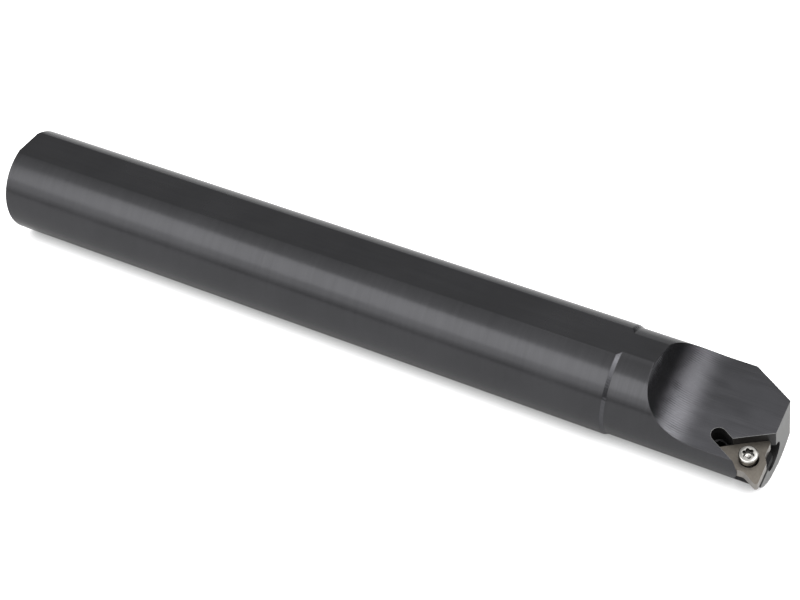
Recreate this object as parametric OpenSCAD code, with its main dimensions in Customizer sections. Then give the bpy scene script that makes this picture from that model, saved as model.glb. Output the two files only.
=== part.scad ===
// Internal threading bar: a round steel boring bar with clamping flats and a tilted seat for a three-point
// carbide insert. X runs along the bar from its back end to its front face, Z is up, and the cutting tip
// points towards -Y. The origin is the centre of the back end.

/* [Shank] */
// Diameter of the shank
shank_d = 32; // [25:0.5:40]
// Length of the bar from its back end to its front face
bar_l = 250; // [150:5:350]
// Depth of the two clamping flats, top and bottom
flat_depth = 1; // [0.8:0.1:2]
// Bevel around the back end
end_bevel = 1; // [0.4:0.1:3]

/* [Neck] */
// Length of the neck from its shoulder to the front face
neck_l = 44.5; // [42:0.5:70]
// Amount by which the neck is turned below the shank, on the radius
neck_drop = 0.5; // [0.2:0.1:0.7]
// Length of the sloping shoulder between shank and neck
shoulder_l = 1.2; // [0.4:0.1:3]
// Bevel around the front face
front_bevel = 0.3; // [0.1:0.1:0.8]

/* [Head] */
// Tilt of the head flat and of the insert seat about the bar
seat_tilt = 15; // [0:1:20]
// Depth of the insert's top face below the head flat
lip_h = 3.2; // [1:0.1:4.5]
// Length of the head flat from the front face to the run-out
head_flat_l = 18.5; // [16:0.5:22]
// Radius of the concave run-out between head flat and neck
runout_r = 18.5; // [17:0.5:22]
// Distance from the bar's axis to the far corner of the front face
far_corner_y = 7.9; // [5:0.1:10]
// Angle of the cut across the far corner
far_corner_angle = 30; // [20:1:45]

/* [Insert] */
// Diameter of the circle inscribed in the insert
insert_ic = 9.525; // [9:0.025:12]
// Thickness of the insert
insert_t = 3.5; // [2.5:0.1:5]
// Depth of the ground step beside the front tip and beside the cutting tip
step_depth = 1.2; // [0.4:0.1:1.4]
// Distance of that step from the middle of the side
step_from_middle = 2.3; // [1.8:0.1:3]
// Nose radius of each tip
nose_r = 0.8; // [0.4:0.1:1]
// Height of the insert's top face over the bar's axis, square to the seat
rake_h = 1.7; // [0:0.1:3]
// Amount by which the insert stands proud of the front face
insert_proud = 0.3; // [0.2:0.05:1]
// Amount by which the cutting tip stands outside the neck
tip_out = 1.7; // [1:0.1:4]
// Bore through the insert
insert_bore_d = 4.4; // [4.2:0.1:4.6]

/* [Shim] */
// Thickness of the shim under the insert
shim_t = 3.2; // [2.5:0.1:5]
// Amount by which the shim's outline lies inside the insert's sides
shim_inset = 0.15; // [0.1:0.05:0.5]
// Distance of the shim screw from the shim's inner corner
shim_screw_from_corner = 4.9; // [4.6:0.1:5]

/* [Seat] */
// Gap between the insert's sides and the walls of its pocket
seat_gap = 0.05; // [0.02:0.01:0.2]
// Width of the relief slot at the inner corner
relief_d = 4.2; // [3:0.1:5]
// Distance from the insert's inner corner to the centre of that slot's round end
relief_past = 0.9; // [0.5:0.1:2]
// Depth of the relief slot below the pocket's floor
relief_sink = 0.8; // [0.3:0.1:2]
// Step between the upper and the lower stretch of the relief slot
relief_step = 0.4; // [0.2:0.1:0.8]
// Diameter of the hollow that opens in the front face beside the seat
hollow_d = 8.4; // [6:0.2:9]
// Depth of that hollow
hollow_l = 2.6; // [1:0.1:4]
// Distance of the hollow's centre from the pocket's far wall, on the front face
hollow_in = 1.4; // [0:0.1:3]
// Depth of the hollow's centre below the pocket's floor
hollow_below = 0.7; // [0:0.1:2]

/* [Screws] */
// Thread diameter of the insert screw
screw_d = 3.5; // [3:0.1:3.6]
// Diameter of the insert screw's head
screw_head_d = 5.2; // [5:0.1:5.6]
// Height of the insert screw's head above the insert
screw_proud = 2.5; // [0.5:0.1:2.6]
// Length of thread that the insert screw has in the holder
screw_grip = 3.4; // [2.5:0.1:3.6]
// Width of the six-lobe socket across its lobes
socket_d = 3.35; // [2.8:0.05:3.6]
// Depth of that socket
socket_depth = 1.6; // [1:0.1:2]
// Thread diameter of the shim screw
shim_screw_d = 2.5; // [2:0.1:2.6]
// Diameter of the shim screw's head
shim_head_d = 3.8; // [3.4:0.1:4]
// Width of the shim screw's six-lobe socket
shim_socket_d = 2.3; // [1.8:0.05:2.4]
// Depth of that socket
shim_socket_depth = 1; // [0.6:0.1:1.2]
// Length of thread that the shim screw has in the holder
shim_grip = 2.8; // [2:0.1:3]
// Clearance between a screw and its thread and seat, on the radius
screw_gap = 0.03; // [0.02:0.01:0.1]
// Clearance between a screw and a plain bore that it passes through, on the radius
bore_gap = 0.15; // [0.1:0.05:0.3]

/* [Hidden] */
$fn = 96;

shank_r = shank_d / 2;
neck_r = shank_r - neck_drop;
flat_h = shank_r - flat_depth;
reach = 2 * shank_d;                 // longer than anything it has to cut through

in_r = insert_ic / 2;
half_side = in_r * sqrt(3);          // from the middle of a side to the sharp corner
head_flat_h = rake_h + lip_h;
floor_z = -(insert_t + shim_t);      // pocket floor, measured from the insert's top face
wall_off = in_r + seat_gap;          // from the insert's centre to each pocket wall

// Lowest point of a tip below the insert's centre, along the head flat
tip_drop = (1.5 * (in_r - nose_r) - step_depth) * 2 / sqrt(3) + nose_r;
step_ramp = 1.6 * step_depth;        // length of the slope into a step, along the side
// Step at the end of each side, in turn: front, far and near. The far side is straight, along its wall.
side_steps = [step_depth, 0, step_depth];
insert_x = insert_proud - in_r;      // from the front face to the insert's centre
insert_y = -(neck_r + tip_out - tip_drop);

cone_tan = tan(30);                  // half angle of the insert screw's conical seat
counterbore_h = 0.5;
counterbore_gap = 0.05;
bore_r = insert_bore_d / 2;
head_r = screw_head_d / 2;
counterbore_r = head_r + counterbore_gap;
cone_h = (counterbore_r - bore_r) / cone_tan;
shim_screw_x = -(2 * in_r - shim_screw_from_corner);
shim_blunt = 2.4;                    // cut off each of the shim's corners
head_edge = 0.25;                    // bevel around the top of the insert screw's head
screw_end = 0.4;                     // bevel at the end of each screw
thread_spare = 0.5;                  // depth of the shim screw's hole past its end
shim_sink = 0.1;                     // depth of the shim screw's head below the shim's top face
shim_cone_h = (shim_head_d - shim_screw_d) / 2;
slot_open = 2.5;                     // run of the relief slot into the pocket, past the inner corner

// X from the front face, Y across the head flat and Z square out of it
module seat_frame() {
    translate([bar_l, 0, 0]) rotate([seat_tilt, 0, 0]) children();
}

// The same directions, with the centre of the insert's top face as the origin
module insert_frame() {
    seat_frame() translate([insert_x, insert_y, rake_h]) children();
}

module turned_blank() {
    shoulder_x = bar_l - neck_l;
    rotate([0, 90, 0]) rotate_extrude($fn = 180)
        polygon([
            [0, 0], [shank_r - end_bevel, 0], [shank_r, end_bevel],
            [shank_r, shoulder_x - shoulder_l], [neck_r, shoulder_x],
            [neck_r, bar_l - front_bevel], [neck_r - front_bevel, bar_l], [0, bar_l]
        ]);
}

module clamping_flats() {
    for (side = [0, 1]) mirror([0, 0, side])
        translate([-1, -shank_d, flat_h]) cube([bar_l + 2, 2 * shank_d, reach]);
}

module head_flat_cut() {
    seat_frame() {
        translate([-head_flat_l, -reach, head_flat_h]) cube([reach, 2 * reach, reach]);
        translate([-head_flat_l, reach, head_flat_h + runout_r])
            rotate([90, 0, 0]) cylinder(r = runout_r, h = 2 * reach, $fn = 180);
    }
}

module far_corner_cut() {
    seat_frame() translate([0, far_corner_y, -reach])
        rotate([0, 0, -far_corner_angle]) translate([-reach, 0, 0]) cube([2 * reach, reach, 2 * reach]);
}

// Two upright walls that meet at 60 degrees, over a flat floor
module pocket() {
    insert_frame() translate([-2 * wall_off, 0, floor_z])
        linear_extrude(height = reach) polygon([[0, 0], [reach, reach * tan(30)], [reach, -reach * tan(30)]]);
}

// A round-ended slot along the near wall, which clears the insert's inner tip
module relief_slot() {
    slot_x = -(half_side + relief_past);
    module stretch(width, z0, z1) {
        translate([slot_x, relief_d / 2 - wall_off, z0]) {
            cylinder(d = width, h = z1 - z0);
            translate([0, -width / 2, 0]) cube([relief_past + slot_open, width, z1 - z0]);
        }
    }
    insert_frame() rotate([0, 0, -30]) {
        stretch(relief_d, -insert_t, reach);
        stretch(relief_d - 2 * relief_step, floor_z - relief_sink, reach);
    }
}

module front_hollow() {
    wall_y = insert_y + (wall_off * 2 / sqrt(3)) - insert_x * tan(30);
    seat_frame() translate([-hollow_l, wall_y - hollow_in, rake_h + floor_z - hollow_below])
        rotate([0, 90, 0]) cylinder(d = hollow_d, h = reach);
}

module screw_holes() {
    insert_frame() {
        translate([0, 0, -reach]) cylinder(r = screw_d / 2 + screw_gap, h = reach);
        translate([shim_screw_x, 0, floor_z - shim_grip - thread_spare])
            cylinder(r = shim_screw_d / 2 + screw_gap, h = shim_grip + thread_spare + 1);
    }
}

module holder_bar() {
    color("#303236") difference() {
        turned_blank();
        clamping_flats();
        head_flat_cut();
        far_corner_cut();
        pocket();
        relief_slot();
        front_hollow();
        screw_holes();
    }
}

// The insert's outline is three sides, each with the tip that follows it
function turned(p, a) = [p[0] * cos(a) - p[1] * sin(a), p[0] * sin(a) + p[1] * cos(a)];
function tip_arc(step) = let (
        x = in_r - step - nose_r,
        y = (in_r - nose_r + x / 2) * 2 / sqrt(3)
    ) [for (a = [0:10:120]) [x + nose_r * cos(a), y + nose_r * sin(a)]];
function side(step) = concat(
    step > 0 ? [[in_r, step_from_middle - step_ramp], [in_r - step, step_from_middle]] : [],
    tip_arc(step)
);

module insert_outline() {
    polygon([for (i = [0:2]) for (p = side(side_steps[i])) turned(p, 120 * i)]);
}

module insert() {
    color("#756c60") insert_frame() difference() {
        translate([0, 0, -insert_t]) linear_extrude(height = insert_t) insert_outline();
        translate([0, 0, -reach / 2]) cylinder(r = bore_r, h = reach);
        translate([0, 0, -counterbore_h]) cylinder(r = counterbore_r, h = reach);
        translate([0, 0, -counterbore_h - cone_h]) cylinder(r1 = bore_r, r2 = counterbore_r, h = cone_h);
    }
}

// A triangle with blunt corners, trimmed to the round of the neck
module shim() {
    flat_r = in_r - shim_inset;
    color("#4b4e50") difference() {
        intersection() {
            insert_frame() translate([0, 0, floor_z]) intersection() {
                rotate([0, 0, 180]) cylinder(r = 2 * flat_r, h = shim_t, $fn = 3);
                cylinder(r = 2 * flat_r - shim_blunt, h = shim_t);
            }
            rotate([0, 90, 0]) cylinder(r = neck_r - shim_inset, h = bar_l + 1);
        }
        insert_frame() translate([0, 0, floor_z]) {
            translate([0, 0, -1]) cylinder(r = screw_d / 2 + bore_gap, h = shim_t + 2);
            translate([shim_screw_x, 0, 0]) {
                translate([0, 0, -1]) cylinder(r = shim_screw_d / 2 + bore_gap, h = shim_t + 2);
                translate([0, 0, shim_t - shim_sink - shim_cone_h])
                    cylinder(r1 = shim_screw_d / 2 + screw_gap, r2 = shim_head_d / 2 + screw_gap,
                        h = shim_cone_h);
                translate([0, 0, shim_t - shim_sink]) cylinder(r = shim_head_d / 2 + screw_gap, h = 1);
            }
        }
    }
}

// Six-lobe socket, cut downwards from the origin
module six_lobes(width, depth) {
    translate([0, 0, -depth]) {
        cylinder(d = 0.74 * width, h = depth + 1);
        for (turn = [0:60:300]) rotate([0, 0, turn])
            translate([0.38 * width, 0, 0]) cylinder(d = 0.24 * width, h = depth + 1, $fn = 32);
    }
}

module insert_screw() {
    thread_r = screw_d / 2;
    end_z = floor_z - screw_grip;
    seat_z = -counterbore_h - screw_gap / cone_tan;
    color("#c9c6c0") insert_frame() difference() {
        rotate_extrude() polygon([
            [0, end_z], [thread_r - screw_end, end_z], [thread_r, end_z + screw_end],
            [thread_r, seat_z - (head_r - thread_r) / cone_tan], [head_r, seat_z],
            [head_r, screw_proud - head_edge], [head_r - head_edge, screw_proud], [0, screw_proud]
        ]);
        translate([0, 0, screw_proud]) six_lobes(socket_d, socket_depth);
    }
}

module shim_screw() {
    thread_r = shim_screw_d / 2;
    end_z = floor_z - shim_grip;
    top_z = floor_z + shim_t - shim_sink;
    color("#8d8f90") insert_frame() translate([shim_screw_x, 0, 0]) difference() {
        rotate_extrude() polygon([
            [0, end_z], [thread_r - screw_end, end_z], [thread_r, end_z + screw_end],
            [thread_r, top_z - shim_cone_h], [shim_head_d / 2, top_z], [0, top_z]
        ]);
        translate([0, 0, top_z]) six_lobes(shim_socket_d, shim_socket_depth);
    }
}

holder_bar();
shim();
shim_screw();
insert();
insert_screw();
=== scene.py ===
# %% [markdown]
# # Internal threading bar
# This bar cuts threads inside holes on a lathe. It is a round steel shank with two clamping flats, a slightly
# thinner neck, and a milled head that carries a three-cornered carbide insert on a shim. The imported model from
# CAD is the fixed frame here: it says how big everything is and where it goes, and this lesson adds the looks.

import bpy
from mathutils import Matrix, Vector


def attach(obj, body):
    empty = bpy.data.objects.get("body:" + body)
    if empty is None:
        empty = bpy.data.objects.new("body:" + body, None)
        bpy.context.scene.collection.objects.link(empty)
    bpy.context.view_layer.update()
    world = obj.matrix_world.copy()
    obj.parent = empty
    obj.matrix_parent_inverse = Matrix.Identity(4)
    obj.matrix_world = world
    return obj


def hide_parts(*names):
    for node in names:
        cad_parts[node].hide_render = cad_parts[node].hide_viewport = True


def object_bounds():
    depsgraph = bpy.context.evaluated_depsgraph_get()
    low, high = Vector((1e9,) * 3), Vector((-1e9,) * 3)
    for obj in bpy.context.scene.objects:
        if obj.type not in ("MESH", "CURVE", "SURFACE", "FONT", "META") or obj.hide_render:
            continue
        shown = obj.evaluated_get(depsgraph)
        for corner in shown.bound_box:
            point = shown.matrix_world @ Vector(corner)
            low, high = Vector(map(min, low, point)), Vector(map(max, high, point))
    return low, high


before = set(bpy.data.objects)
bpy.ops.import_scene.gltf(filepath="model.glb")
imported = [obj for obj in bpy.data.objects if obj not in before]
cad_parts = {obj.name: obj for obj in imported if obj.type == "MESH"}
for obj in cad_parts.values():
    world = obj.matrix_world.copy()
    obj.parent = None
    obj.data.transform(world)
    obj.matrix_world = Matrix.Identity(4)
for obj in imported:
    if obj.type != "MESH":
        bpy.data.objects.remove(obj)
cad_low, cad_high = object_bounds()
print("packed nodes:", sorted(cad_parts))
print("box from", tuple(round(v, 5) for v in cad_low), "to", tuple(round(v, 5) for v in cad_high))

# %% [markdown]
# ## Drawing in millimetres
# A toolmaker thinks of this bar in millimetres, and the frame is in metres. Each piece is therefore drawn as a
# bmesh in millimetres, in its real place, and brought to metres once, when it becomes an object. The object
# stays at the origin, unturned and unscaled, so that patterns on Object coordinates stay where they belong.

# %% Modules and units
from math import cos, pi, radians, sin, sqrt, tan

import bmesh
import bpy
from mathutils import Matrix, Vector

MM = 0.001
scene = bpy.context.scene


def new_piece(name, bm, materials):
    """Makes a mesh object out of a bmesh drawn in millimetres and brings it to metres."""
    mesh = bpy.data.meshes.new(name)
    bm.to_mesh(mesh)
    bm.free()
    mesh.transform(Matrix.Scale(MM, 4))
    for material in materials:
        mesh.materials.append(material)
    piece = bpy.data.objects.new(name, mesh)
    scene.collection.objects.link(piece)
    return piece


print("one drawing unit is", MM, "m")

# %% [markdown]
# ## Camera
# The bar is seen from above its cutting side, from rather close, so its back end looks smaller than its head.
# A long lens from half a metre keeps that mild. Three plain turns aim it: round the bar, down, and a slight
# lean to one side. No lens shift is needed.

# %% Camera
CAMERA_PLACE = Vector((330.4, -319.1, 354.3)) * MM
TURN, DOWN, LEAN = radians(31.65), radians(43.28), radians(-4.0)
LENS_MM, SENSOR_MM = 79.2, 36
NEAREST, FARTHEST = 0.01, 50   # metres; nothing nearer or farther is drawn

camera = bpy.data.objects.new("camera", bpy.data.cameras.new("camera"))
camera.data.lens = LENS_MM
camera.data.sensor_width = SENSOR_MM
camera.data.clip_start, camera.data.clip_end = NEAREST, FARTHEST
camera.matrix_world = (Matrix.Translation(CAMERA_PLACE) @ Matrix.Rotation(TURN, 4, "Z")
                       @ Matrix.Rotation(pi / 2 - DOWN, 4, "X") @ Matrix.Rotation(LEAN, 4, "Z"))
scene.collection.objects.link(camera)
scene.camera = camera
scene.view_settings.view_transform = "Standard"
print("camera at", tuple(round(v, 3) for v in CAMERA_PLACE), "lens", LENS_MM, "mm")

# %% [markdown]
# ## Node helpers
# Every material here is a small tree of nodes. Setting up a node takes several lines each time, so one helper
# adds a node with its settings and its inputs, and short ones stand for the calculations that come back often.

# %% Node helpers
def node_tree(owner):
    """Gives a material or world an empty node tree."""
    owner.use_nodes = True
    owner.node_tree.nodes.clear()
    return owner.node_tree


def add(tree, kind, inputs=None, **settings):
    """Adds a node, sets its settings, and fills its inputs with values or with links from other sockets."""
    node = tree.nodes.new(kind)
    for name, value in settings.items():
        setattr(node, name, value)
    for name, value in (inputs or {}).items():
        if isinstance(value, bpy.types.NodeSocket):
            tree.links.new(value, node.inputs[name])
        else:
            node.inputs[name].default_value = value
    return node


def combine(tree, operation, first, second, **settings):
    """One calculation with two values, each a number or a socket."""
    return add(tree, "ShaderNodeMath", {0: first, 1: second}, operation=operation, **settings).outputs[0]


def remap(tree, value, span, result=(0.0, 1.0), smooth=False):
    """Turns one span of a value into another, and holds it at the ends."""
    return add(tree, "ShaderNodeMapRange", {"Value": value, "From Min": span[0], "From Max": span[1],
                                            "To Min": result[0], "To Max": result[1]},
               interpolation_type="SMOOTHSTEP" if smooth else "LINEAR").outputs[0]


def ramp(tree, factor, stops):
    """A colour ramp over a factor. A stop is a place and a grey level or a colour."""
    node = add(tree, "ShaderNodeValToRGB", {"Fac": factor})
    elements = node.color_ramp.elements
    while len(elements) < len(stops):
        elements.new(0.5)
    for element, (place, shade) in zip(elements, stops):
        element.position = place
        rgb = (shade, shade, shade) if isinstance(shade, (int, float)) else shade
        element.color = (*rgb, 1)
    return node.outputs["Color"]


print("node helpers:", ", ".join(helper.__name__ for helper in (add, combine, remap, ramp)))

# %% [markdown]
# ## Floor
# The bar lies on white paper. Smooth dark steel shows its surroundings more than its own colour, so the paper
# needs two looks: one where it is seen directly, just white with a soft painted contact shadow, and one where
# the steel mirrors it, with a painted shadow under the bar and dimmer past the edges of the sheet. A Light Path
# node tells the two apart, and an Ambient Occlusion node finds how near the bar is, so that the shadow is
# painted into the paper's colour and glow there.

# %% Floor sheet
FLOOR_HALF = 6.0   # metres, so that its edges are never seen
MIDDLE_X = 125     # millimetres, halfway along the bar

bm = bmesh.new()
bmesh.ops.create_grid(bm, x_segments=1, y_segments=1, size=FLOOR_HALF / MM)
bmesh.ops.translate(bm, verts=bm.verts, vec=(MIDDLE_X, 0, cad_low.z / MM))
paper = bpy.data.materials.new("floor paper")
floor = new_piece("floor", bm, [paper])
print("floor at z =", round(cad_low.z, 4))

# %% Paper seen directly
PAPER = 0.8
GLOW_SEEN = 0.8          # added, so that open paper is just white
CONTACT_REACH = 0.0058   # metres; a painted contact shadow darkens the paper this near to the bar
CONTACT_SHADE = 0.5      # what the painted shadow leaves there of the paper's own white


def openness(tree, reach):
    """How open the room round a point is within a reach: 1 in the open and less beside the bar."""
    return add(tree, "ShaderNodeAmbientOcclusion", {"Distance": reach}, samples=8).outputs["AO"]


tree = node_tree(paper)
ray = add(tree, "ShaderNodeLightPath").outputs
near = openness(tree, CONTACT_REACH)
# painted contact shadow: near the bar both the paper's colour and its glow drop
shade_seen = ramp(tree, near, [(0.0, PAPER * CONTACT_SHADE), (0.7, PAPER)])
glow_seen = combine(tree, "MULTIPLY", near, GLOW_SEEN)
glow_seen = combine(tree, "MULTIPLY", glow_seen, ray["Is Camera Ray"])
print("contact shadow reaches", CONTACT_REACH, "m")

# %% Paper mirrored by the steel
PAPER_MIRRORED = 0.65
GLOW_MIRRORED = 0.28     # added, so that mirrored open paper is white too
UNDERSIDE_REACH = 0.025  # metres; a painted shadow darkens the mirrored paper under the bar over a wider strip
UNDERSIDE = [(0.18, 0.08), (0.32, 0.5), (0.45, 1.0)]   # how open it is, and how much of the white the painted shadow leaves
SHEET_FRONT, SHEET_RIGHT, SHEET_FADE = -0.35, 0.42, 0.05   # metres; past these edges is a dimmer table
TABLE = 0.1              # the table's share of the paper's white

on_floor = add(tree, "ShaderNodeSeparateXYZ", {0: add(tree, "ShaderNodeTexCoord").outputs["Object"]}).outputs
front_edge = remap(tree, on_floor["Y"], (SHEET_FRONT - SHEET_FADE, SHEET_FRONT), (TABLE, 1.0))
right_edge = remap(tree, on_floor["X"], (SHEET_RIGHT, SHEET_RIGHT + SHEET_FADE), (1.0, TABLE))
sheet = combine(tree, "MULTIPLY", front_edge, right_edge)
# painted shadow: under the bar the mirrored paper's colour and glow drop
under = ramp(tree, openness(tree, UNDERSIDE_REACH), UNDERSIDE)
under = combine(tree, "MULTIPLY", under, sheet)
shade_mirrored = combine(tree, "MULTIPLY", under, PAPER_MIRRORED)
is_mirrored = combine(tree, "ADD", ray["Is Glossy Ray"], ray["Is Transmission Ray"], use_clamp=True)
glow_mirrored = combine(tree, "MULTIPLY", under, GLOW_MIRRORED)
glow_mirrored = combine(tree, "MULTIPLY", glow_mirrored, is_mirrored)
print("mirrored shade reaches", UNDERSIDE_REACH, "m")

# %% Both looks in one material
COLOUR_A, COLOUR_B, COLOUR_OUT = 6, 7, 2   # the colour sockets of a Mix node

shade = add(tree, "ShaderNodeMix", {"Factor": ray["Is Camera Ray"], COLOUR_A: shade_mirrored,
                                    COLOUR_B: shade_seen}, data_type="RGBA").outputs[COLOUR_OUT]
glow = combine(tree, "ADD", glow_mirrored, glow_seen)
matt = add(tree, "ShaderNodeBsdfDiffuse", {"Color": shade})
white = add(tree, "ShaderNodeEmission", {"Strength": glow})
both = add(tree, "ShaderNodeAddShader", {0: matt.outputs[0], 1: white.outputs[0]})
add(tree, "ShaderNodeOutputMaterial", {"Surface": both.outputs[0]})
print("floor material has", len(tree.nodes), "nodes")

# %% [markdown]
# ## Lamps
# Three soft lamps light the bar. A wide one in front and above makes the broad light band on the cutting side,
# a low one below it carries that band down the round, and a smaller one overhead lights the floor and the
# head. A lamp's power depends on its size, so each is given by how bright its face is.

# %% Lamps
BAR_MIDDLE = Vector((MIDDLE_X, 0, 0)) * MM
FRONT_AWAY, FRONT_FROM_TOP = 1.1, radians(50)
front_place = (-0.1, -FRONT_AWAY * sin(FRONT_FROM_TOP), FRONT_AWAY * cos(FRONT_FROM_TOP))
LAMPS = {   # name: place and size in metres, and how bright its face is
    "front lamp": (front_place, (1.3, 0.65), 2.4),
    "low front lamp": ((-0.1, -1.06, 0.31), (1.3, 0.27), 0.9),
    "top lamp": ((0.0, 0.32, 1.2), (0.55, 0.4), 0.42),
}

for name, (place, size, brightness) in LAMPS.items():
    lamp = bpy.data.lights.new(name, "AREA")
    lamp.shape = "RECTANGLE"
    lamp.size, lamp.size_y = size
    lamp.energy = brightness * size[0] * size[1] * pi
    stand = bpy.data.objects.new(name, lamp)
    stand.location = place
    stand.rotation_euler = (BAR_MIDDLE - Vector(place)).to_track_quat("-Z", "Y").to_euler()
    scene.collection.objects.link(stand)
    print(name, "at", tuple(round(v, 2) for v in place), "power", round(lamp.energy, 2), "W")

# %% [markdown]
# ## Sky
# Each strip along the round mirrors another part of the room, so every light and dark band on the bar belongs
# to one direction of the sky. The sky starts as a dim ramp from the horizon up, and soft patches are added to
# it one by one, each with a direction, a width and a brightness. One patch takes light away, as an open door
# does. Patches are easy to adjust one at a time, and they stay in place when the view changes.

# %% Plain sky
sky = bpy.data.worlds.new("sky")
scene.world = sky
tree = node_tree(sky)
direction = add(tree, "ShaderNodeTexCoord").outputs["Generated"]
height = add(tree, "ShaderNodeSeparateXYZ", {0: direction}).outputs["Z"]
total = ramp(tree, height, [(0.0, 0.06), (0.06, 0.15), (0.2, 0.1), (0.5, 0.04)])
print("plain sky has", len(tree.nodes), "nodes")

# %% Soft patches on the sky
PATCHES = {   # name: direction, cosines at its edge and middle, brightness, sharpness (0: a smooth shoulder)
    "front": ((-0.35, -0.75, 0.6), 0.5, 1.0, 1.5, 0),
    "behind": ((-0.5, 0.6, 0.65), 0.5, 0.97, 0.5, 0),
    "above": ((0.15, 0.25, 0.95), 0.72, 1.0, 0.65, 0),
    "beside": ((0.52, 0.11, 0.85), 0.75, 1.0, 4.0, 2.4),
    "beside and before": ((0.50, -0.36, 0.79), 0.85, 1.0, 2.0, 1),
    "low behind": ((-0.3, 0.95, 0.08), 0.9, 1.0, 0.7, 0),
    "dark doorway": ((0.41, 0.90, 0.12), 0.86, 0.97, -0.13, 0),
}
WINDOW_SILL = (0.27, 0.36)   # the patch beside the bar is a window, and fades out between these heights

for name, (axis, edge, middle, brightness, sharpness) in PATCHES.items():
    facing = add(tree, "ShaderNodeVectorMath", {0: direction, 1: Vector(axis).normalized()},
                 operation="DOT_PRODUCT").outputs["Value"]
    patch = remap(tree, facing, (edge, middle), smooth=not sharpness)
    if sharpness:
        patch = combine(tree, "POWER", patch, sharpness)
    patch = combine(tree, "MULTIPLY", patch, brightness)
    if name == "beside":
        patch = combine(tree, "MULTIPLY", patch, remap(tree, height, WINDOW_SILL))
    total = combine(tree, "ADD", total, patch)
backdrop = add(tree, "ShaderNodeBackground", {"Color": total, "Strength": 1.0})
add(tree, "ShaderNodeOutputWorld", {"Surface": backdrop.outputs[0]})
print("sky patches:", ", ".join(PATCHES))

# %% [markdown]
# ## Black steel
# The whole holder is blackened steel: a thin oxide film over machined metal. The film is dark, but smooth
# enough to mirror the room softly, and the tool marks still show through it. One recipe serves every surface,
# and only the direction and the size of its marks change. Noise stretched along one direction makes turning
# and grinding marks, and a wave makes the furrows of a milling cutter, so no image is needed.

# %% Tool marks
NOISE_ROUGHNESS = 0.6   # between smooth clouds and fine grit
FURROW_PATCHES = (70, 260, 260)   # the furrows come and go in long narrow patches
WAVE_REPEAT = 0.1 * pi   # a wave texture repeats itself over this length when its scale is one
TILT = radians(15)       # the head flat leans this much about the bar, and so do its furrows


def marks(tree, place, stretch, detail=2.0):
    """Noise stretched into fine lines: a big number squeezes the pattern along that direction."""
    laid = add(tree, "ShaderNodeMapping", {"Vector": place, "Scale": stretch}).outputs[0]
    return add(tree, "ShaderNodeTexNoise", {"Vector": laid, "Scale": 1.0, "Detail": detail,
                                            "Roughness": NOISE_ROUGHNESS}).outputs["Fac"]


def furrows(tree, place, pitch):
    """Fine parallel furrows along the bar, as a milling cutter leaves them, deeper here and shallower there."""
    across = add(tree, "ShaderNodeMapping", {"Vector": place, "Rotation": (-TILT, 0, 0)}).outputs[0]
    wave = add(tree, "ShaderNodeTexWave", {"Vector": across, "Scale": WAVE_REPEAT / pitch, "Distortion": 1.2,
                                           "Detail": 2.0, "Detail Scale": 0.3}, bands_direction="Y")
    strength = remap(tree, marks(tree, place, FURROW_PATCHES, detail=1.0), (0.38, 0.72))
    return combine(tree, "MULTIPLY", wave.outputs["Fac"], strength)


print("furrows lean by", round(TILT, 3), "radians about the bar")

# %% Steel recipe
CLOUD = (45, 45, 45)           # soft patches, about two centimetres wide
GRAIN = (5200, 5200, 5200)     # grit, a fifth of a millimetre wide
GLOSS_DRIFT = (-0.04, 0.05)    # how far the roughness drifts to either side


def bump_from(tree, height, depth, **inputs):
    """A surface that rises and falls by up to a depth in metres."""
    return add(tree, "ShaderNodeBump", {"Height": height, "Strength": 1.0, "Distance": depth,
                                        **inputs}).outputs[0]


def steel(name, colour, light_colour, rough, stretch, depth, metal, edge_tint=0.66, furrow=None, fade=None):
    """Steel with tool marks, squeezed by stretch along X, Y and Z, and as deep as depth in metres. Colour and
    gloss also drift in soft patches, as on handled steel. It can have furrows, of a pitch and a depth, and can
    fade across the bar: fade gives y and a share of the colour for the light side and for the dark side."""
    material = bpy.data.materials.new(name)
    tree = node_tree(material)
    place = add(tree, "ShaderNodeTexCoord").outputs["Object"]
    lines, cloud = marks(tree, place, stretch), marks(tree, place, CLOUD, detail=3.0)
    grain = marks(tree, place, GRAIN, detail=1.0)
    tone = add(tree, "ShaderNodeMix", {"Factor": 0.5, "A": lines, "B": cloud}, data_type="FLOAT").outputs[0]
    paint = ramp(tree, tone, [(0.25, colour), (0.75, light_colour)])
    # fade paints the colour lighter on one side of Y and darker on the other; on the head this is painted light
    # and shade
    if fade:
        light_y, light_share, dark_y, dark_share = fade
        across = add(tree, "ShaderNodeSeparateXYZ", {0: place}).outputs["Y"]
        share = remap(tree, across, (light_y, dark_y), (light_share, dark_share))
        paint = add(tree, "ShaderNodeVectorMath", {0: paint, "Scale": share}, operation="SCALE").outputs[0]
    gloss = remap(tree, cloud, (0.2, 0.8), (rough + GLOSS_DRIFT[0], rough + GLOSS_DRIFT[1]))
    relief = add(tree, "ShaderNodeMix", {"Factor": 0.3, "A": lines, "B": grain}, data_type="FLOAT").outputs[0]
    surface = bump_from(tree, relief, depth)
    if furrow:
        pitch, furrow_depth = furrow
        surface = bump_from(tree, furrows(tree, place, pitch), furrow_depth, Normal=surface)
    shader = add(tree, "ShaderNodeBsdfPrincipled", {
        "Base Color": paint, "Metallic": metal, "Roughness": gloss, "Normal": surface,
        "Specular Tint": (edge_tint, edge_tint, edge_tint, 1)})
    add(tree, "ShaderNodeOutputMaterial", {"Surface": shader.outputs[0]})
    return material


print("grain is", round(1000 / GRAIN[0], 2), "mm wide")

# %% Finishes of the holder
BLACK, BLACK_LIGHT = (0.034, 0.034, 0.036), (0.050, 0.050, 0.053)
MILLED, MILLED_LIGHT = (0.052, 0.052, 0.056), (0.074, 0.074, 0.080)
HEAD_FURROW = (0.00065, 6e-5)             # pitch and depth in metres
HEAD_PAINTED_SHADE = (-0.009, 1.03, 0.007, 0.75)   # painted light by the cutting side and painted shade beyond the axis

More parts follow.
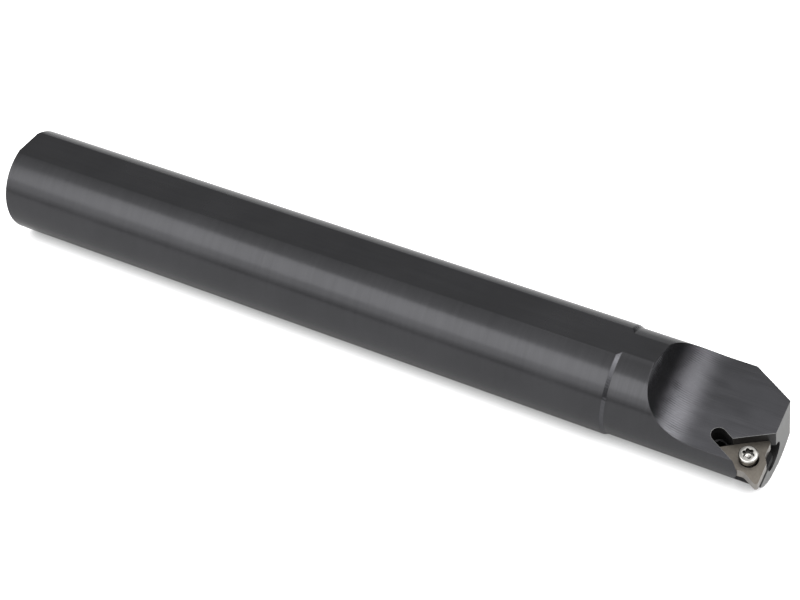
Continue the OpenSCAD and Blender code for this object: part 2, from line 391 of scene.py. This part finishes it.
shank_steel = steel("shank black steel", BLACK, BLACK_LIGHT, 0.20, (2600, 60, 60), 2e-7, metal=0.8)
flat_steel = steel("flat black steel", BLACK, BLACK_LIGHT, 0.25, (30, 2400, 2400), 2e-7, metal=0.8)
head_steel = steel("head black steel", MILLED, MILLED_LIGHT, 0.19, (60, 2200, 2200), 8e-7, metal=0.9,
                   furrow=HEAD_FURROW, fade=HEAD_PAINTED_SHADE)
face_steel = steel("faced steel", (0.18, 0.18, 0.178), (0.26, 0.26, 0.256), 0.36, (900, 2600, 2600), 6e-7,
                   metal=0.9)
edge_steel = steel("worn edge steel", (0.10, 0.10, 0.10), (0.2, 0.2, 0.2), 0.36, (700, 700, 700), 3e-7,
                   metal=0.85)
recess_steel = steel("recess black steel", (0.018, 0.018, 0.018), (0.036, 0.035, 0.035), 0.42,
                     (500, 500, 1800), 5e-7, metal=0.7)
HOLDER_FINISHES = [shank_steel, flat_steel, head_steel, face_steel, edge_steel, recess_steel]
print("holder finishes:", [finish.name for finish in HOLDER_FINISHES])

# %% [markdown]
# ## Holder: the turned blank
# The real holder is turned from one round bar, then milled. The same order works here. A profile spun round the
# bar's axis gives the shank, the sloping shoulder, the neck and the bevelled ends in one closed shape, and
# plane cuts take off the two clamping flats and the far corner of the front. A plane cut is simpler than a
# solid cutter, because it always leaves one clean flat face.

# %% Sizes of the blank
SHANK_R = 16.0
BAR_L = 250.0
FLAT_H = 15.0
END_BEVEL = 0.4
NECK_R = 15.5
NECK_L = 44.5
SHOULDER_END = BAR_L - NECK_L
SHOULDER_L = 1.2
FRONT_BEVEL = 0.3
ROUND_STEPS = 288
print("blank is", BAR_L, "mm long and", 2 * SHANK_R, "mm across")

# %% Turned blank
SAME_POINT = 1e-4             # points nearer than this are one point
LEVEL_WITHIN = radians(0.3)   # faces that meet at less than this are one flat face


def merge_level_faces(bm):
    """Joins neighbouring faces that lie in one plane, so that a flat surface shades evenly."""
    bmesh.ops.dissolve_limit(bm, angle_limit=LEVEL_WITHIN, verts=bm.verts, edges=bm.edges)


def spin_round(bm, points, axis, steps):
    """Joins points with straight edges and spins the line once round an axis into a closed shape."""
    line = [bm.edges.new(pair) for pair in zip(points, points[1:])]
    bmesh.ops.spin(bm, geom=points + line, cent=(0, 0, 0), axis=axis, angle=2 * pi, steps=steps,
                   use_merge=True)
    bmesh.ops.remove_doubles(bm, verts=bm.verts, dist=SAME_POINT)


profile = [(0, 0), (0, SHANK_R - END_BEVEL), (END_BEVEL, SHANK_R), (SHOULDER_END - SHOULDER_L, SHANK_R),
           (SHOULDER_END, NECK_R), (BAR_L - FRONT_BEVEL, NECK_R), (BAR_L, NECK_R - FRONT_BEVEL), (BAR_L, 0)]
bm = bmesh.new()
spin_round(bm, [bm.verts.new((x, 0, radius)) for x, radius in profile], (1, 0, 0), ROUND_STEPS)
merge_level_faces(bm)
bmesh.ops.recalc_face_normals(bm, faces=bm.faces)
print("blank:", len(bm.faces), "faces")

# %% Plane cuts: the two flats and the far corner
FAR_CORNER_Y = 7.9
FAR_CORNER_ANGLE = radians(30)
seat_turn = Matrix.Rotation(TILT, 4, "X")
seat_frame = Matrix.Translation((BAR_L, 0, 0)) @ seat_turn   # the front's middle, leaning with the head flat


def cut_away(bm, point, outward):
    """Takes off everything beyond a plane and closes the cut with one flat face."""
    cut = bmesh.ops.bisect_plane(bm, geom=bm.verts[:] + bm.edges[:] + bm.faces[:], dist=1e-5,
                                 plane_co=point, plane_no=outward, clear_outer=True)
    rim = [item for item in cut["geom_cut"] if isinstance(item, bmesh.types.BMEdge)]
    bmesh.ops.contextual_create(bm, geom=rim)


cut_away(bm, (0, 0, FLAT_H), (0, 0, 1))
cut_away(bm, (0, 0, -FLAT_H), (0, 0, -1))
cut_away(bm, seat_frame @ Vector((0, FAR_CORNER_Y, 0)),
         seat_turn @ Vector((sin(FAR_CORNER_ANGLE), cos(FAR_CORNER_ANGLE), 0)))
bmesh.ops.recalc_face_normals(bm, faces=bm.faces)
print("after the plane cuts:", len(bm.faces), "faces, closed:", all(e.is_manifold for e in bm.edges))
blank = new_piece("holder blank", bm, [])

# %% [markdown]
# ## Holder: the milled head
# A mill then cuts the head flat, which runs out into the neck in a quarter round, the pocket for the insert,
# a relief slot for the insert's inner tip, a round hollow in the front face and two screw holes. Each cutter
# here is a closed outline stood up into a solid, so the cuts have the real cutters' own rounds. Exact Boolean
# modifiers subtract them, because faces that meet at odd angles are hard to model by hand.

# %% Sizes of the head
RAKE_H = 1.7          # the insert's top above the bar's axis, square to the head flat
LIP_H = 3.2           # the head flat above the insert's top
HEAD_FLAT_H = RAKE_H + LIP_H
HEAD_FLAT_L = 18.5
RUNOUT_R = 18.5
IN_R = 9.525 / 2      # the insert is a triangle round a circle of this radius
INSERT_T, SHIM_T = 3.5, 3.2
FLOOR_Z = -(INSERT_T + SHIM_T)   # the pocket's floor below the insert's top
PLAY = 0.05
WALL_OFF = IN_R + PLAY           # the pocket's walls stand this far from the insert's middle
NOSE_R = 0.8
STEP = 1.2            # the depth of the steps beside the tips
FRONT_REACH = 0.3     # the insert stands out of the front face by this
TIP_REACH = 1.7       # and its cutting tip stands out of the neck by this
TIP_DROP = (1.5 * (IN_R - NOSE_R) - STEP) * 2 / sqrt(3) + NOSE_R   # from the insert's middle to that tip
INSERT_X = FRONT_REACH - IN_R
INSERT_Y = -(NECK_R + TIP_REACH - TIP_DROP)
insert_frame = seat_frame @ Matrix.Translation((INSERT_X, INSERT_Y, RAKE_H))   # the middle of the insert's top
print("insert's middle at", tuple(round(v, 3) for v in insert_frame.translation), "mm")

# %% Cutters from outlines
FAR = 60.0   # longer than anything that a cutter has to pass through
PAST = 1.0   # a shorter cutter stands this much past the face that it opens


def stand_up(name, bm, low, high, where):
    """Fills a closed outline, stands it up between two heights and places it."""
    face = bmesh.ops.contextual_create(bm, geom=bm.edges[:])["faces"]
    bmesh.ops.translate(bm, verts=bm.verts, vec=(0, 0, low))
    raised = bmesh.ops.extrude_face_region(bm, geom=face)["geom"]
    bmesh.ops.translate(bm, verts=[v for v in raised if isinstance(v, bmesh.types.BMVert)],
                        vec=(0, 0, high - low))
    bmesh.ops.recalc_face_normals(bm, faces=bm.faces)
    bmesh.ops.transform(bm, matrix=where, verts=bm.verts)
    print(name, "stands from", round(low, 2), "to", round(high, 2), "mm")
    return new_piece(name, bm, [])


def extend(bm, vert, step):
    """Draws one straight edge on from a vertex and gives the new vertex."""
    new = bmesh.ops.extrude_vert_indiv(bm, verts=[vert])["verts"][0]
    new.co += Vector(step)
    return new


def arc_on(bm, start, centre, angle, steps):
    """Draws an arc on from a vertex, round a centre, and gives its last vertex."""
    last = bmesh.ops.spin(bm, geom=[start], cent=centre, axis=(0, 0, 1), angle=angle, steps=steps)["geom_last"]
    return [v for v in last if isinstance(v, bmesh.types.BMVert)][0]


print("cutters reach", FAR, "mm")

# %% Head cutter
RUNOUT_STEPS = 72


def head_cutter():
    """The room over the head flat, with the quarter round that it runs out in."""
    bm = bmesh.new()
    start = bm.verts.new((-HEAD_FLAT_L, HEAD_FLAT_H, 0))
    back = arc_on(bm, start, (-HEAD_FLAT_L, HEAD_FLAT_H + RUNOUT_R, 0), -pi / 2, RUNOUT_STEPS)
    top = extend(bm, extend(bm, back, (0, FAR, 0)), (FAR + RUNOUT_R, 0, 0))
    low = extend(bm, start, (FAR, 0, 0))
    bm.edges.new((top, low))
    upright = Matrix.Rotation(pi / 2, 4, "X")
    return stand_up("head cutter", bm, -FAR, FAR, seat_frame @ upright)


cutters = [head_cutter()]


# %% Pocket cutter
def triangle(radius):
    """An equal-sided triangle round the origin, with one corner towards -X."""
    bm = bmesh.new()
    bmesh.ops.create_circle(bm, cap_ends=False, radius=radius, segments=3)
    bmesh.ops.rotate(bm, verts=bm.verts, cent=(0, 0, 0), matrix=Matrix.Rotation(pi / 2, 3, "Z"))
    return bm


def pocket_cutter():
    """Two walls at 60 degrees over a flat floor: a big triangle with one corner at the seat's corner."""
    bm = triangle(FAR)
    bmesh.ops.translate(bm, verts=bm.verts, vec=(FAR - 2 * WALL_OFF, 0, 0))
    print("pocket corner at", round(min(v.co.x for v in bm.verts), 3))
    return stand_up("pocket cutter", bm, FLOOR_Z, FAR, insert_frame)


cutters.append(pocket_cutter())

# %% Relief slot cutters
RELIEF_D = 4.2
RELIEF_PAST = 0.9    # the middle of the slot's round end is this much past the insert's corner
RELIEF_STEP = 0.4    # beside the shim, the slot is narrower by this all round
RELIEF_BELOW = 0.8   # it ends this much below the pocket's floor
SLOT_OPEN = 2.5      # and its open end is this far on the other side of the corner
SLOT_STEPS = 36


def slot_cutter(name, width, low, high):
    """A slot with one round end, along the near wall, so that the insert's inner tip touches nothing."""
    bm = bmesh.new()
    start = bm.verts.new((0, width / 2, 0))
    end = arc_on(bm, start, (0, 0, 0), pi, SLOT_STEPS)
    run = RELIEF_PAST + SLOT_OPEN
    bm.edges.new((extend(bm, start, (run, 0, 0)), extend(bm, end, (run, 0, 0))))
    place = Matrix.Translation((-(IN_R * sqrt(3) + RELIEF_PAST), RELIEF_D / 2 - WALL_OFF, 0))
    return stand_up(name, bm, low, high, insert_frame @ Matrix.Rotation(-pi / 6, 4, "Z") @ place)


cutters.append(slot_cutter("slot cutter", RELIEF_D, -INSERT_T, FAR))
cutters.append(slot_cutter("deep slot cutter", RELIEF_D - 2 * RELIEF_STEP, FLOOR_Z - RELIEF_BELOW, FAR))

# %% Hollow and screw hole cutters
HOLLOW_D, HOLLOW_L = 8.4, 2.6      # across, and deep behind the front face
HOLLOW_IN, HOLLOW_LOW = 1.4, 0.7   # its middle from the far wall's end, and below the pocket's floor
PULL = 0.15   # the screw sits this much towards the pocket's corner, so that it pulls the insert in
SCREW_HOLE_R = 1.78
SHIM_SCREW_FROM_CORNER = 4.9       # from the insert's inner corner, before its round
SHIM_HOLE_R, SHIM_HOLE_L = 1.28, 3.3
HOLLOW_STEPS, HOLE_STEPS = 96, 64

far_wall_end = WALL_OFF * 2 / sqrt(3) - INSERT_X * tan(pi / 6)
hollow_frame = (seat_frame @ Matrix.Translation((-HOLLOW_L, INSERT_Y + far_wall_end - HOLLOW_IN,
                                                 RAKE_H + FLOOR_Z - HOLLOW_LOW))
                @ Matrix.Rotation(pi / 2, 4, "Y"))
screw_frame = insert_frame @ Matrix.Translation((-PULL, 0, 0))
shim_screw_frame = insert_frame @ Matrix.Translation((SHIM_SCREW_FROM_CORNER - 2 * IN_R, 0, 0))


def round_cutter(name, radius, low, high, where, steps):
    """A plain round cutter for a hole."""
    bm = bmesh.new()
    bmesh.ops.create_circle(bm, cap_ends=False, radius=radius, segments=steps)
    return stand_up(name, bm, low, high, where)


cutters.append(round_cutter("hollow cutter", HOLLOW_D / 2, 0, FAR, hollow_frame, HOLLOW_STEPS))
cutters.append(round_cutter("screw hole cutter", SCREW_HOLE_R, -FAR, 0, screw_frame, HOLE_STEPS))
cutters.append(round_cutter("shim screw hole cutter", SHIM_HOLE_R, FLOOR_Z - SHIM_HOLE_L, FLOOR_Z + PAST,
                            shim_screw_frame, HOLE_STEPS))


# %% Cut the blank
def carve(body, cutters):
    """Subtracts each cutter in turn and gives the result as a bmesh in millimetres."""
    for cutter in cutters:
        change = body.modifiers.new(cutter.name, "BOOLEAN")
        change.operation, change.solver, change.object = "DIFFERENCE", "EXACT", cutter
    bpy.context.view_layer.update()
    carved = body.evaluated_get(bpy.context.evaluated_depsgraph_get())
    bm = bmesh.new()
    bm.from_mesh(carved.data)
    bmesh.ops.scale(bm, vec=(1 / MM, 1 / MM, 1 / MM), verts=bm.verts)
    for tool in [body, *cutters]:
        bpy.data.objects.remove(tool)
    return bm


SLIVER = 0.01   # cuts that meet leave edges shorter than this, and they are joined up

bm = carve(blank, cutters)
bmesh.ops.remove_doubles(bm, verts=bm.verts, dist=SLIVER)
bmesh.ops.dissolve_degenerate(bm, edges=bm.edges, dist=SLIVER)
merge_level_faces(bm)
print("carved holder:", len(bm.faces), "faces, closed:", all(e.is_manifold for e in bm.edges))

# %% [markdown]
# ## Holder: its edges
# A real edge is never a perfect line: it is broken with a file or rubbed by use, and it catches the light.
# Every sharp edge gets a fine bevel of two faces across, which shows in the light as a real edge does. The
# bevel's faces are remembered, because the worn rim of the head gets a brighter finish.

# %% Fine bevels
SHARP = radians(11)
EDGE = 0.12

sharp = [e for e in bm.edges if e.is_manifold and e.calc_face_angle(0) > SHARP]
print("sharp edges:", len(sharp), "shortest", round(min(e.calc_length() for e in sharp), 4), "mm")
bevelled = bmesh.ops.bevel(bm, geom=sharp, offset=EDGE, offset_type="OFFSET", affect="EDGES", segments=2,
                           profile=0.5, material=-1, clamp_overlap=False, loop_slide=True)
bevel_faces = set(bevelled["faces"])
print("bevelled holder:", len(bm.faces), "faces, closed:", all(e.is_manifold for e in bm.edges))

# %% [markdown]
# ## Holder: which finish goes where
# The shank is turned, the flats are ground, the head is milled, the front is faced, and the pocket is dark with
# oxide and oil. All of it is one piece, so each face chooses its finish from where it is and which way it
# looks. That needs no hand-picked list of faces, which any change of a size would spoil.

# %% Choose a finish
SHANK, FLAT, HEAD, FACE, WORN, RECESS = range(6)   # in the order of the holder's finishes
JUST = 0.01                    # millimetres of play when a face is compared with a size
FORWARD, LEVEL = 0.99, 0.999   # how straight a face has to look ahead, or up or down
SHOULDER_LOOK = (0.2, 0.6)     # how far the shoulder's sloping faces look ahead
RIM_WEAR_Y = 0.25 * NECK_R     # the rim is worn on the cutting side, up to here
RIM_WEAR_R = NECK_R - 0.6      # and only inside the round
UNDER_SKIN = NECK_R - 0.05     # anything nearer to the axis than this was milled
head_up = seat_turn @ Vector((0, 0, 1))


def finish_of(face):
    """Chooses a finish from where a face is and which way it looks."""
    middle, normal = face.calc_center_median(), face.normal
    over_seat = seat_frame.inverted() @ middle
    from_axis = Vector((middle.y, middle.z)).length
    if face in bevel_faces:
        on_rim = abs(over_seat.z - HEAD_FLAT_H) < 2 * EDGE and over_seat.y < RIM_WEAR_Y
        return WORN if on_rim and over_seat.x < -2 * EDGE and from_axis < RIM_WEAR_R else SHANK
    if normal.x > FORWARD and middle.x > BAR_L - JUST:
        return FACE
    if abs(normal.z) > LEVEL:
        return FLAT
    if over_seat.x > -HEAD_FLAT_L - RUNOUT_R and from_axis < UNDER_SKIN:
        if over_seat.z > HEAD_FLAT_H - JUST and normal.dot(head_up) > 0:
            return HEAD
        if over_seat.y < HOLLOW_D / 2:
            return RECESS
    looks_ahead = SHOULDER_LOOK[0] < normal.x < SHOULDER_LOOK[1]
    return HEAD if looks_ahead and SHOULDER_END - SHOULDER_L < middle.x < SHOULDER_END else SHANK


for face in bm.faces:
    face.material_index = finish_of(face)
    face.smooth = True
for index, finish in enumerate(HOLDER_FINISHES):
    print(finish.name, "on", sum(face.material_index == index for face in bm.faces), "faces")

# %% Place the holder
CREASE = radians(35)


def settle(piece, node):
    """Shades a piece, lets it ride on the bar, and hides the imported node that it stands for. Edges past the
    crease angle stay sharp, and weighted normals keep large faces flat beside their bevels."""
    piece.data.set_sharp_from_angle(angle=CREASE)
    smooth = piece.modifiers.new("flat faces stay flat", "WEIGHTED_NORMAL")
    smooth.keep_sharp = True
    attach(piece, "root")
    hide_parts(node)
    low, high = piece.bound_box[0], piece.bound_box[6]
    print(piece.name, "from", tuple(round(v, 4) for v in low), "to", tuple(round(v, 4) for v in high))


settle(new_piece("threading_bar_holder", bm, HOLDER_FINISHES), "holder_bar")

# %% [markdown]
# ## Insert: its finishes
# The insert is pressed and sintered carbide with a thin brown-grey coating. Its flanks are ground to size, which
# leaves them lighter, with fine upright marks. The steel recipe does for both, in warmer colours, and the coated
# faces are coloured a little darker away from the cutting tip.

# %% Carbide finishes
COATING, COATING_LIGHT = (0.084, 0.075, 0.064), (0.137, 0.124, 0.107)
GROUND, GROUND_LIGHT = (0.165, 0.154, 0.14), (0.25, 0.235, 0.215)
# the coated faces' colour: lighter by the cutting tip, darker towards the far side
COATING_FADE = (-0.0155, 1.28, -0.004, 0.74)

coated = steel("coated carbide", COATING, COATING_LIGHT, 0.38, (1500, 1500, 1500), 4e-7, metal=0.8,
               edge_tint=0.9, fade=COATING_FADE)
ground = steel("ground carbide flank", GROUND, GROUND_LIGHT, 0.36, (2600, 2600, 240), 5e-7, metal=0.85,
               edge_tint=0.9)
print("carbide finishes:", coated.name, "and", ground.name)

# %% [markdown]
# ## Insert: its shape
# An insert of this kind has three tips, so a worn tip is turned away twice before the insert is thrown away. It
# starts as a triangle stood up to its thickness. Two cutters leave the steps beside the tips, a spun one makes
# the hole with the screw's seat, and one plane cut at each corner slopes the rake face. The corners then get
# their nose radius, and a very small bevel round every edge stands for the honing that keeps it from chipping.

# %% Steps and bore
STEP_FROM_MIDDLE = 2.3
STEP_RAMP = 1.6 * STEP
BORE_R, SINK_R, SINK_DEPTH = 2.2, 2.7, 0.5
CONE_TAN = tan(radians(30))
FRONT_SIDE, NEAR_SIDE = 0, radians(240)   # the two sides of the insert that have a step


def step_cutter(side):
    """Takes a shallow step off the end of one side of the insert, with a slope into it."""
    bm = bmesh.new()
    start = bm.verts.new((IN_R, STEP_FROM_MIDDLE - STEP_RAMP, 0))
    inner = extend(bm, start, (-STEP, STEP_RAMP, 0))
    end = extend(bm, extend(bm, inner, (0, 2 * IN_R, 0)), (2 * STEP, 0, 0))
    bm.edges.new((extend(bm, end, (0, -2 * IN_R - STEP_RAMP, 0)), start))
    return stand_up("step cutter", bm, -INSERT_T - PAST, PAST, Matrix.Rotation(side, 4, "Z"))


def lathe(profile, steps=96):
    """Spins a profile of (radius, height) points round Z into a closed shape."""
    bm = bmesh.new()
    spin_round(bm, [bm.verts.new((radius, 0, height)) for radius, height in profile], (0, 0, 1), steps)
    bmesh.ops.recalc_face_normals(bm, faces=bm.faces)
    return bm


sink_end = -SINK_DEPTH - (SINK_R - BORE_R) / CONE_TAN
bore = lathe([(0, -FAR), (BORE_R, -FAR), (BORE_R, sink_end), (SINK_R, -SINK_DEPTH), (SINK_R, 2 * PAST),
              (0, 2 * PAST)])
bm = carve(stand_up("insert blank", triangle(2 * IN_R), -INSERT_T, 0, Matrix.Identity(4)),
           [step_cutter(FRONT_SIDE), step_cutter(NEAR_SIDE), new_piece("bore cutter", bore, [])])
bmesh.ops.remove_doubles(bm, verts=bm.verts, dist=SLIVER / 2)
print("insert blank:", len(bm.faces), "faces")

# %% Rake facets
FACET_FROM_MIDDLE, FACET_FALL = 3.5, radians(4)

for corner in (pi, pi / 3, -pi / 3):
    along = Vector((cos(corner), sin(corner), 0))
    cut_away(bm, along * FACET_FROM_MIDDLE, along * sin(FACET_FALL) + Vector((0, 0, cos(FACET_FALL))))
print("with its rake facets:", len(bm.faces), "faces")

# %% Rounded tips and honed edges
TIPS_FROM_MIDDLE, TIP_TURN = 6.5, radians(60)     # where the outline's corners are, and how sharply they turn
STEPS_FROM_MIDDLE, STEP_TURN = 3.5, radians(20)
NOSE_RUN = NOSE_R / tan(radians(30))              # how far from a 60 degree corner its round begins
STEP_ROUND = 0.3
HONE, HONE_TURN = 0.06, radians(22)


def sharper_than(bm, angle):
    """The edges whose two faces meet at more than an angle."""
    return [e for e in bm.edges if e.calc_face_angle(0) > angle]


def upright_edges(bm, from_centre, least_turn):
    """The sharp upright edges of the insert's outline, at least so far from its centre."""
    return [e for e in sharper_than(bm, least_turn)
            if (e.verts[0].co - e.verts[1].co).to_2d().length < JUST / 10
            and e.verts[0].co.to_2d().length > from_centre]


def round_edges(bm, edges, offset, segments):
    """Bevels some edges into a round."""
    bmesh.ops.bevel(bm, geom=edges, offset=offset, offset_type="OFFSET", affect="EDGES", segments=segments,
                    profile=0.5, material=-1, clamp_overlap=True)


tips = upright_edges(bm, TIPS_FROM_MIDDLE, TIP_TURN)
print("insert tips:", len(tips))
round_edges(bm, tips, NOSE_RUN, 10)
round_edges(bm, upright_edges(bm, STEPS_FROM_MIDDLE, STEP_TURN), STEP_ROUND, 3)
round_edges(bm, sharper_than(bm, HONE_TURN), HONE, 2)
print("insert:", len(bm.faces), "faces, closed:", all(e.is_manifold for e in bm.edges))

# %% Place the insert
UPRIGHT = 0.5             # a face whose normal rises less than this is upright
ON_FLANK = SINK_R + 0.3   # upright faces further out than this are flanks, and not the bore's wall

for face in bm.faces:
    face.smooth = True
    flank = abs(face.normal.z) < UPRIGHT and face.calc_center_median().to_2d().length > ON_FLANK
    face.material_index = 1 if flank else 0
bmesh.ops.transform(bm, matrix=insert_frame, verts=bm.verts)
settle(new_piece("threading_insert", bm, [coated, ground]), "insert")

# %% [markdown]
# ## Screws
# The insert's screw has a raised round head over a flared collar, and the shim's screw, hidden under the
# insert, has a flat countersunk one. Both have a six-lobe socket, and both are spun from a profile, because
# they are turned in the real thing too. The socket is a circle whose radius swings six times as it goes
# round, cut in from the top. The threads are out of sight in their holes, so they are left plain.

# %% Screw finishes, and painted shade for the sockets
bright = steel("bright screw steel", (0.31, 0.303, 0.288), (0.46, 0.45, 0.425), 0.2, (700, 700, 700), 4e-7,
               metal=1.0, edge_tint=1.0)
# painted shade for the walls of the deep socket
dark = steel("screw socket painted shade", (0.02, 0.019, 0.018), (0.05, 0.048, 0.045), 0.4, (900, 900, 900), 4e-7,
             metal=0.8)
plain = steel("plain screw steel", (0.24, 0.24, 0.24), (0.36, 0.36, 0.36), 0.32, (900, 900, 900), 3e-7,
              metal=1.0, edge_tint=1.0)
print("screw finishes:", bright.name, dark.name, plain.name, sep=", ")

# %% Socket
LOBES = 6
WAIST = 0.7           # the socket's narrowest radius as a share of its widest
LOBE_BREADTH = 0.6    # below one, the lobes are broader than the flutes between them
DRILL_SHARE = 0.24    # the drill point's radius as a share of the socket's width
DRILL_SLOPE = 0.6
SOCKET_STEPS = 144


def socket_cutter(width, top, depth):
    """Six broad lobes across a width, with narrow flutes between them."""
    bm = bmesh.new()
    bmesh.ops.create_circle(bm, cap_ends=False, radius=1, segments=SOCKET_STEPS)
    outer, inner = width / 2, width / 2 * WAIST
    for vert in bm.verts:
        angle = Vector((1, 0)).angle_signed(vert.co.to_2d())
        swing = (0.5 + 0.5 * cos(LOBES * angle)) ** LOBE_BREADTH
        vert.co *= inner + swing * (outer - inner)
    return stand_up("socket cutter", bm, top - depth, top + PAST, Matrix.Identity(4))


def drill_cutter(radius, top, depth):
    """The cone that the drill leaves below the socket."""
    point = lathe([(0, top - depth - DRILL_SLOPE * radius), (radius, top - depth), (radius, top), (0, top)])
    return new_piece("drill point cutter", point, [])


print("a socket has", LOBES, "lobes, and its waist is", WAIST, "of its width")

# %% Screw
SOFTEN, SOFTEN_TURN = 0.05, radians(24)   # the bevel along a screw's edges, and how sharp those are
SOCKET_RIM = 0.15    # the socket's walls keep the bright steel down to here, and are painted shade below
SOCKET_WALL = 0.7    # a face whose normal rises less than this is a wall


def screw(name, profile, socket, where, materials):
    """A spun screw with its socket cut in and its edges softened. The socket's walls get the second material,
    painted shade.
    """
    width, depth = socket
    top = profile[0][1]
    body = new_piece(name + " body", lathe(profile), [])
    bm = carve(body, [socket_cutter(width, top, depth), drill_cutter(DRILL_SHARE * width, top, depth)])
    bmesh.ops.remove_doubles(bm, verts=bm.verts, dist=SLIVER / 5)
    round_edges(bm, sharper_than(bm, SOFTEN_TURN), SOFTEN, 2)
    for face in bm.faces:
        face.smooth = True
        middle = face.calc_center_median()
        in_socket = (middle.to_2d().length < width / 2 + 2 * JUST
                     and top - depth - JUST < middle.z < top - SOCKET_RIM)
        face.material_index = 1 if in_socket and abs(face.normal.z) < SOCKET_WALL else 0
    bmesh.ops.transform(bm, matrix=where, verts=bm.verts)
    print(name, "has", len(bm.faces), "faces, closed:", all(e.is_manifold for e in bm.edges))
    return new_piece(name, bm, materials)


print("screw edges are softened by", SOFTEN, "mm")

# %% Insert screw
HEAD_R, HEAD_TOP, SCREW_R = 2.62, 2.85, 1.72
CROWN = [(0, 0), (1.6, 0.02), (2.15, 0.1), (2.45, 0.24), (HEAD_R, 0.5), (HEAD_R, 0.95)]   # radius and depth
UNDERCUT_R, UNDERCUT_DEPTH = 2.15, 1.3
COLLAR_R, SEAT_R, SEAT_DEPTH = 2.5, 2.35, 0.62
BELOW_FLOOR = 3.4
SCREW_END = FLOOR_Z - BELOW_FLOOR
THREAD_BEVEL = 0.4
INSERT_SOCKET = (3.3, 1.6)   # width and depth

insert_profile = [(radius, HEAD_TOP - depth) for radius, depth in CROWN] + [
    (UNDERCUT_R, HEAD_TOP - UNDERCUT_DEPTH), (COLLAR_R, 0), (SEAT_R, -SEAT_DEPTH),
    (SCREW_R, -SEAT_DEPTH - (SEAT_R - SCREW_R) / CONE_TAN), (SCREW_R, SCREW_END + THREAD_BEVEL),
    (SCREW_R - THREAD_BEVEL, SCREW_END), (0, SCREW_END)]
settle(screw("insert_clamping_screw", insert_profile, INSERT_SOCKET, screw_frame, [bright, dark]),
       "insert_screw")

# %% Shim screw
SHIM_HEAD_R, SHIM_THREAD_R = 1.9, 1.25
SHIM_SOCKET = (2.3, 1.0)
SUNK, SHIM_BELOW_FLOOR = 0.1, 2.8
shim_top = FLOOR_Z + SHIM_T - SUNK
shim_end = FLOOR_Z - SHIM_BELOW_FLOOR
shim_head_end = shim_top + SHIM_THREAD_R - SHIM_HEAD_R   # a 45 degree cone

shim_profile = [(0, shim_top), (SHIM_HEAD_R, shim_top), (SHIM_THREAD_R, shim_head_end),
                (SHIM_THREAD_R, shim_end + THREAD_BEVEL), (SHIM_THREAD_R - THREAD_BEVEL, shim_end),
                (0, shim_end)]
settle(screw("shim_clamping_screw", shim_profile, SHIM_SOCKET, shim_screw_frame, [plain, dark]),
       "shim_screw")

# %% [markdown]
# ## Shim
# The shim is a hard plate that the insert sits on, so that a crash breaks a cheap part and not the holder. Its
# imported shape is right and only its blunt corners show, so it keeps that shape, and its material slot gets a
# dark, ground finish.

# %% Shim finish
shim_steel = steel("ground shim", (0.014, 0.014, 0.015), (0.026, 0.026, 0.027), 0.5, (300, 2200, 2200), 5e-7,
                   metal=0.8, edge_tint=0.4)
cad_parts["shim"].data.materials[0] = shim_steel
print("shim wears", shim_steel.name)
